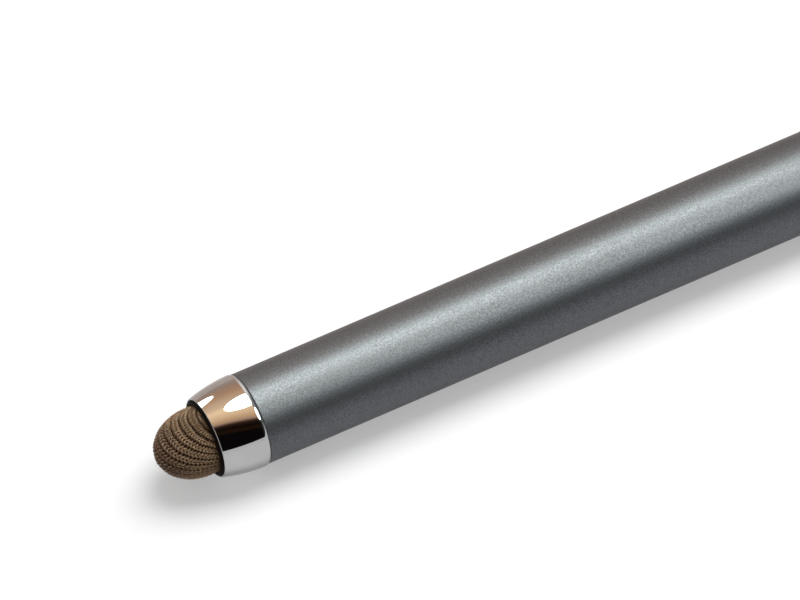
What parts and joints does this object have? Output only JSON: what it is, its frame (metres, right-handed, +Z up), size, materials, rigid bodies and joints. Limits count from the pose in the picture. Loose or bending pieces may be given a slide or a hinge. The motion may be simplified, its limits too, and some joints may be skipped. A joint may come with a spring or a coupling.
{
  "type": "stylus pen",
  "caption": "Slim round pen with a knitted touch tip in a polished nose at one end and a ballpoint under a pull-off cap with a clip at the other.",
  "frame": {"origin": "on the pen's axis, halfway along the barrel tube", "axes": "+X along the pen from the soft touch tip to the button on the cap, +Z up with the pen lying down, +Y to its side away from the clip"},
  "size_m": [0.1344, 0.0109, 0.0094],
  "materials": {
    "blasted_aluminium": "bead-blasted and anodised gunmetal grey",
    "polished_chrome": "mirror polished chrome plate",
    "conductive_knit": "fine jersey knit of taupe conductive yarn",
    "silicone_rubber": "soft matt silicone rubber",
    "black_plastic": "satin black moulding",
    "seal_rubber": "moulded nitrile rubber",
    "brass": "turned",
    "satin_aluminium": "turned and satin anodised",
    "refill_steel": "drawn tube",
    "nickel_silver": "turned",
    "carbide": "lapped carbide",
    "ink": "blue-black paste ink",
    "natural_plastic": "unpigmented moulding"
  },
  "bodies": {
    "barrel": {"barrel": "blasted_aluminium", "front_bush": "brass", "rear_bush": "brass"},
    "nose_ring": {"nose_o_ring": "seal_rubber"},
    "nose": {"nose_cone": "polished_chrome", "mesh_collar": "black_plastic", "tip_plug": "brass"},
    "soft_tip": {"tip_core": "silicone_rubber", "knit_tip": "conductive_knit"},
    "trim_ring": {"trim_ring": "polished_chrome"},
    "pen_section": {"pen_section": "satin_aluminium", "point_cone": "polished_chrome"},
    "refill": {"refill_carrier": "natural_plastic", "refill_tube": "refill_steel", "ink_column": "ink", "refill_point": "nickel_silver"},
    "writing_ball": {"writing_ball": "carbide"},
    "cap_seal": {"cap_o_ring": "seal_rubber"},
    "cap": {"cap_tube": "blasted_aluminium", "cap_liner": "black_plastic", "cap_insert": "brass", "clip_ring": "polished_chrome", "finial": "polished_chrome"},
    "clip": {"clip_arm": "polished_chrome"}
  },
  "joints": [
    {"name": "tip_advance", "type": "slide", "parent": "barrel", "child": "nose_ring", "axis": [-1, 0, 0], "range_m": [0, 0.00375]},
    {"name": "tip_unscrew", "type": "hinge", "parent": "nose_ring", "child": "nose", "pos_m": [-0.04004, 0, 0], "axis": [-1, 0, 0], "range_deg": [0, 2700]},
    {"name": "tip_press", "type": "slide", "parent": "nose", "child": "soft_tip", "axis": [1, 0, 0], "range_m": [0, 0.0005], "stiffness_N_per_m": 400},
    {"name": "section_advance", "type": "slide", "parent": "barrel", "child": "trim_ring", "axis": [1, 0, 0], "range_m": [0, 0.00375]},
    {"name": "section_unscrew", "type": "hinge", "parent": "trim_ring", "child": "pen_section", "pos_m": [0.04124, 0, 0], "axis": [1, 0, 0], "range_deg": [0, 2700]},
    {"name": "refill_pull", "type": "slide", "parent": "pen_section", "child": "refill", "axis": [-1, 0, 0], "range_m": [0, 0.025]},
    {"name": "ball_roll", "type": "hinge", "parent": "refill", "child": "writing_ball", "pos_m": [0.06966, 0, 0], "axis": [0, 1, 0], "continuous": true},
    {"name": "cap_turn", "type": "hinge", "parent": "pen_section", "child": "cap_seal", "pos_m": [0.04426, 0, 0], "axis": [1, 0, 0], "continuous": true},
    {"name": "cap_pull", "type": "slide", "parent": "cap_seal", "child": "cap", "axis": [1, 0, 0], "range_m": [0, 0.032]},
    {"name": "clip_flex", "type": "hinge", "parent": "cap", "child": "clip", "pos_m": [0.08148, -0.00504, -0.00307], "axis": [0, -0.5208, 0.8537], "range_deg": [0, 5], "stiffness_Nm_per_rad": 0.5}
  ],
  "couplings": [
    {"joint": "tip_unscrew", "follows": "tip_advance", "rad_per_m": 12566},
    {"joint": "section_unscrew", "follows": "section_advance", "rad_per_m": 12566}
  ]
}
